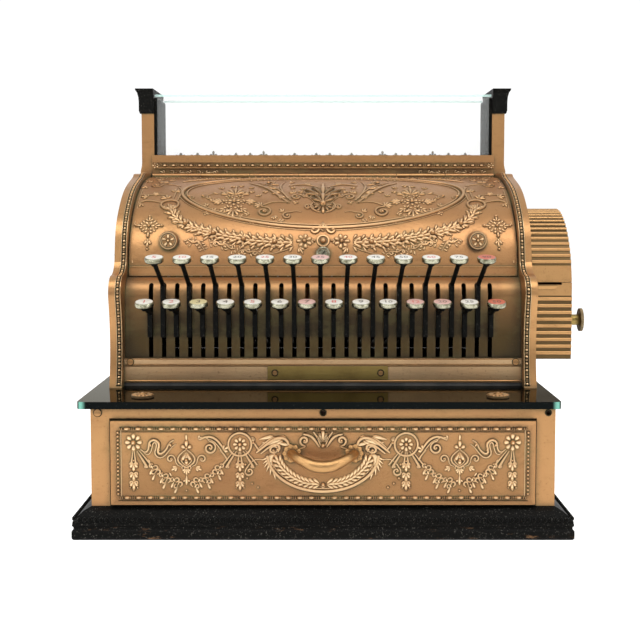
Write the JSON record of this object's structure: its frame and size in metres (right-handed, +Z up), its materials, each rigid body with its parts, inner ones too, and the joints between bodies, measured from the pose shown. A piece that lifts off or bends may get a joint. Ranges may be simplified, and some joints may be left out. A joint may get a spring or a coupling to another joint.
{
  "type": "cash register",
  "caption": "Antique cast-bronze till: banked round lever keys, curved lid, glazed indicator window, sprung drawer, ribbed strip printer on the right",
  "frame": {"origin": "centre of the base board's resting face", "axes": "+X to the right as the user faces the keys, +Y to the back, +Z up"},
  "size_m": [0.4917, 0.4211, 0.43],
  "materials": {
    "plinth": "black lacquered moulding, worn along the edges",
    "case_wood": "stained oak carcase",
    "bronze": "cast copper-bronze plating with dark green patina",
    "panel_bronze": "darker bronze sheet",
    "plate_brass": "worn brass",
    "shelf_glass": "dark plate glass with green edges",
    "window_glass": "clear sheet glass",
    "black_steel": "black japanned",
    "tablet_enamel": "white enamel",
    "frame_iron": "painted cast iron",
    "bright_steel": "bright steel",
    "bell_metal": "polished bell metal",
    "tray_wood": "oiled beech",
    "handle_gilt": "gilt cast pull",
    "printer_gilt": "brassy ribbed casting",
    "knob_bronze": "dark bronze",
    "paper": "paper strip wound on a core",
    "key_lever": "black lever under a nickel cap"
  },
  "bodies": {
    "cabinet": {"plinth": "plinth", "drawer_case": "case_wood", "case_face_frame": "bronze", "glass_shelf": "shelf_glass", "side_casting_left": "bronze", "side_casting_right": "bronze", "keyboard_panel": "panel_bronze", "keyboard_rail": "bronze", "lower_front_panel": "panel_bronze", "name_plate": "plate_brass", "back_panel": "bronze", "indicator_cornice": "bronze", "window_posts": "bronze", "window_jambs": "black_steel", "post_caps": "black_steel", "window_glass": "window_glass", "indicator_tablets": "tablet_enamel", "mechanism_frame": "frame_iron", "key_shaft": "bright_steel", "bell": "bell_metal", "drawer_spring": "bright_steel", "printer_case": "printer_gilt", "screws": "bronze"},
    "drawer": {"drawer_front": "bronze", "drawer_tray": "tray_wood", "drawer_handle": "handle_gilt"},
    "lid": {"lid": "bronze"},
    "lid_lock": {"lid_lock": "plate_brass"},
    "printer_cover": {"printer_cover": "printer_gilt"},
    "printer_knob": {"printer_knob": "knob_bronze"},
    "paper_roll": {"paper_roll": "paper"},
    "adding_wheels": {"adding_wheels": "bright_steel"},
    "bell_hammer": {"bell_hammer": "bright_steel"},
    "key_front_01": {"key_front_01": "key_lever"},
    "key_front_02": {"key_front_02": "key_lever"},
    "key_front_03": {"key_front_03": "key_lever"},
    "key_front_04": {"key_front_04": "key_lever"},
    "key_front_05": {"key_front_05": "key_lever"},
    "key_front_06": {"key_front_06": "key_lever"},
    "key_front_07": {"key_front_07": "key_lever"},
    "key_front_08": {"key_front_08": "key_lever"},
    "key_front_09": {"key_front_09": "key_lever"},
    "key_front_10": {"key_front_10": "key_lever"},
    "key_front_11": {"key_front_11": "key_lever"},
    "key_front_12": {"key_front_12": "key_lever"},
    "key_front_13": {"key_front_13": "key_lever"},
    "key_front_14": {"key_front_14": "key_lever"},
    "key_back_01": {"key_back_01": "key_lever"},
    "key_back_02": {"key_back_02": "key_lever"},
    "key_back_03": {"key_back_03": "key_lever"},
    "key_back_04": {"key_back_04": "key_lever"},
    "key_back_05": {"key_back_05": "key_lever"},
    "key_back_06": {"key_back_06": "key_lever"},
    "key_back_07": {"key_back_07": "key_lever"},
    "key_back_08": {"key_back_08": "key_lever"},
    "key_back_09": {"key_back_09": "key_lever"},
    "key_back_10": {"key_back_10": "key_lever"},
    "key_back_11": {"key_back_11": "key_lever"},
    "key_back_12": {"key_back_12": "key_lever"},
    "key_back_13": {"key_back_13": "key_lever"}
  },
  "joints": [
    {"name": "drawer_slide", "type": "slide", "parent": "cabinet", "child": "drawer", "axis": [0, -1, 0], "range_m": [0, 0.24], "deforming": ["drawer_spring"]},
    {"name": "lid_hinge", "type": "hinge", "parent": "cabinet", "child": "lid", "pos_m": [0, 0.084, 0.3325], "axis": [-1, 0, 0], "range_deg": [0, 92]},
    {"name": "lid_lock_turn", "type": "hinge", "parent": "lid", "child": "lid_lock", "pos_m": [0, -0.075, 0.2516], "axis": [0, -1, 0], "range_deg": [0, 90]},
    {"name": "printer_cover_hinge", "type": "hinge", "parent": "cabinet", "child": "printer_cover", "pos_m": [0.225, 0.0903, 0.2231], "axis": [-1, 0, 0], "range_deg": [0, 100]},
    {"name": "printer_knob_turn", "type": "hinge", "parent": "cabinet", "child": "printer_knob", "pos_m": [0.246, -0.03, 0.1812], "axis": [1, 0, 0], "continuous": true},
    {"name": "paper_roll_turn", "type": "hinge", "parent": "cabinet", "child": "paper_roll", "pos_m": [0.225, 0.048, 0.1837], "axis": [1, 0, 0], "continuous": true},
    {"name": "adding_wheels_turn", "type": "hinge", "parent": "cabinet", "child": "adding_wheels", "pos_m": [0, 0.00075, 0.2686], "axis": [1, 0, 0], "continuous": true},
    {"name": "bell_hammer_swing", "type": "hinge", "parent": "cabinet", "child": "bell_hammer", "pos_m": [-0.166, 0.023, 0.1955], "axis": [-1, 0, 0], "range_deg": [-12, 4.3], "stiffness_Nm_per_rad": 0.02},
    {"name": "key_front_01_press", "type": "hinge", "parent": "cabinet", "child": "key_front_01", "pos_m": [0, 0.05, 0.1497], "axis": [1, 0, 0], "range_deg": [0, 6], "stiffness_Nm_per_rad": 2, "springref_deg": -17.19},
    {"name": "key_front_02_press", "type": "hinge", "parent": "cabinet", "child": "key_front_02", "pos_m": [0, 0.05, 0.1497], "axis": [1, 0, 0], "range_deg": [0, 6], "stiffness_Nm_per_rad": 2, "springref_deg": -17.19},
    {"name": "key_front_03_press", "type": "hinge", "parent": "cabinet", "child": "key_front_03", "pos_m": [0, 0.05, 0.1497], "axis": [1, 0, 0], "range_deg": [0, 6], "stiffness_Nm_per_rad": 2, "springref_deg": -17.19},
    {"name": "key_front_04_press", "type": "hinge", "parent": "cabinet", "child": "key_front_04", "pos_m": [0, 0.05, 0.1497], "axis": [1, 0, 0], "range_deg": [0, 6], "stiffness_Nm_per_rad": 2, "springref_deg": -17.19},
    {"name": "key_front_05_press", "type": "hinge", "parent": "cabinet", "child": "key_front_05", "pos_m": [0, 0.05, 0.1497], "axis": [1, 0, 0], "range_deg": [0, 6], "stiffness_Nm_per_rad": 2, "springref_deg": -17.19},
    {"name": "key_front_06_press", "type": "hinge", "parent": "cabinet", "child": "key_front_06", "pos_m": [0, 0.05, 0.1497], "axis": [1, 0, 0], "range_deg": [0, 6], "stiffness_Nm_per_rad": 2, "springref_deg": -17.19},
    {"name": "key_front_07_press", "type": "hinge", "parent": "cabinet", "child": "key_front_07", "pos_m": [0, 0.05, 0.1497], "axis": [1, 0, 0], "range_deg": [0, 6], "stiffness_Nm_per_rad": 2, "springref_deg": -17.19},
    {"name": "key_front_08_press", "type": "hinge", "parent": "cabinet", "child": "key_front_08", "pos_m": [0, 0.05, 0.1497], "axis": [1, 0, 0], "range_deg": [0, 6], "stiffness_Nm_per_rad": 2, "springref_deg": -17.19},
    {"name": "key_front_09_press", "type": "hinge", "parent": "cabinet", "child": "key_front_09", "pos_m": [0, 0.05, 0.1497], "axis": [1, 0, 0], "range_deg": [0, 6], "stiffness_Nm_per_rad": 2, "springref_deg": -17.19},
    {"name": "key_front_10_press", "type": "hinge", "parent": "cabinet", "child": "key_front_10", "pos_m": [0, 0.05, 0.1497], "axis": [1, 0, 0], "range_deg": [0, 6], "stiffness_Nm_per_rad": 2, "springref_deg": -17.19},
    {"name": "key_front_11_press", "type": "hinge", "parent": "cabinet", "child": "key_front_11", "pos_m": [0, 0.05, 0.1497], "axis": [1, 0, 0], "range_deg": [0, 6], "stiffness_Nm_per_rad": 2, "springref_deg": -17.19},
    {"name": "key_front_12_press", "type": "hinge", "parent": "cabinet", "child": "key_front_12", "pos_m": [0, 0.05, 0.1497], "axis": [1, 0, 0], "range_deg": [0, 6], "stiffness_Nm_per_rad": 2, "springref_deg": -17.19},
    {"name": "key_front_13_press", "type": "hinge", "parent": "cabinet", "child": "key_front_13", "pos_m": [0, 0.05, 0.1497], "axis": [1, 0, 0], "range_deg": [0, 6], "stiffness_Nm_per_rad": 2, "springref_deg": -17.19},
    {"name": "key_front_14_press", "type": "hinge", "parent": "cabinet", "child": "key_front_14", "pos_m": [0, 0.05, 0.1497], "axis": [1, 0, 0], "range_deg": [0, 6], "stiffness_Nm_per_rad": 2, "springref_deg": -17.19},
    {"name": "key_back_01_press", "type": "hinge", "parent": "cabinet", "child": "key_back_01", "pos_m": [0, 0.05, 0.1497], "axis": [1, 0, 0], "range_deg": [0, 6], "stiffness_Nm_per_rad": 2, "springref_deg": -17.19},
    {"name": "key_back_02_press", "type": "hinge", "parent": "cabinet", "child": "key_back_02", "pos_m": [0, 0.05, 0.1497], "axis": [1, 0, 0], "range_deg": [0, 6], "stiffness_Nm_per_rad": 2, "springref_deg": -17.19},
    {"name": "key_back_03_press", "type": "hinge", "parent": "cabinet", "child": "key_back_03", "pos_m": [0, 0.05, 0.1497], "axis": [1, 0, 0], "range_deg": [0, 6], "stiffness_Nm_per_rad": 2, "springref_deg": -17.19},
    {"name": "key_back_04_press", "type": "hinge", "parent": "cabinet", "child": "key_back_04", "pos_m": [0, 0.05, 0.1497], "axis": [1, 0, 0], "range_deg": [0, 6], "stiffness_Nm_per_rad": 2, "springref_deg": -17.19},
    {"name": "key_back_05_press", "type": "hinge", "parent": "cabinet", "child": "key_back_05", "pos_m": [0, 0.05, 0.1497], "axis": [1, 0, 0], "range_deg": [0, 6], "stiffness_Nm_per_rad": 2, "springref_deg": -17.19},
    {"name": "key_back_06_press", "type": "hinge", "parent": "cabinet", "child": "key_back_06", "pos_m": [0, 0.05, 0.1497], "axis": [1, 0, 0], "range_deg": [0, 6], "stiffness_Nm_per_rad": 2, "springref_deg": -17.19},
    {"name": "key_back_07_press", "type": "hinge", "parent": "cabinet", "child": "key_back_07", "pos_m": [0, 0.05, 0.1497], "axis": [1, 0, 0], "range_deg": [0, 6], "stiffness_Nm_per_rad": 2, "springref_deg": -17.19},
    {"name": "key_back_08_press", "type": "hinge", "parent": "cabinet", "child": "key_back_08", "pos_m": [0, 0.05, 0.1497], "axis": [1, 0, 0], "range_deg": [0, 6], "stiffness_Nm_per_rad": 2, "springref_deg": -17.19},
    {"name": "key_back_09_press", "type": "hinge", "parent": "cabinet", "child": "key_back_09", "pos_m": [0, 0.05, 0.1497], "axis": [1, 0, 0], "range_deg": [0, 6], "stiffness_Nm_per_rad": 2, "springref_deg": -17.19},
    {"name": "key_back_10_press", "type": "hinge", "parent": "cabinet", "child": "key_back_10", "pos_m": [0, 0.05, 0.1497], "axis": [1, 0, 0], "range_deg": [0, 6], "stiffness_Nm_per_rad": 2, "springref_deg": -17.19},
    {"name": "key_back_11_press", "type": "hinge", "parent": "cabinet", "child": "key_back_11", "pos_m": [0, 0.05, 0.1497], "axis": [1, 0, 0], "range_deg": [0, 6], "stiffness_Nm_per_rad": 2, "springref_deg": -17.19},
    {"name": "key_back_12_press", "type": "hinge", "parent": "cabinet", "child": "key_back_12", "pos_m": [0, 0.05, 0.1497], "axis": [1, 0, 0], "range_deg": [0, 6], "stiffness_Nm_per_rad": 2, "springref_deg": -17.19},
    {"name": "key_back_13_press", "type": "hinge", "parent": "cabinet", "child": "key_back_13", "pos_m": [0, 0.05, 0.1497], "axis": [1, 0, 0], "range_deg": [0, 6], "stiffness_Nm_per_rad": 2, "springref_deg": -17.19}
  ],
  "couplings": [
    {"joint": "paper_roll_turn", "follows": "printer_knob_turn", "ratio": 1}
  ]
}
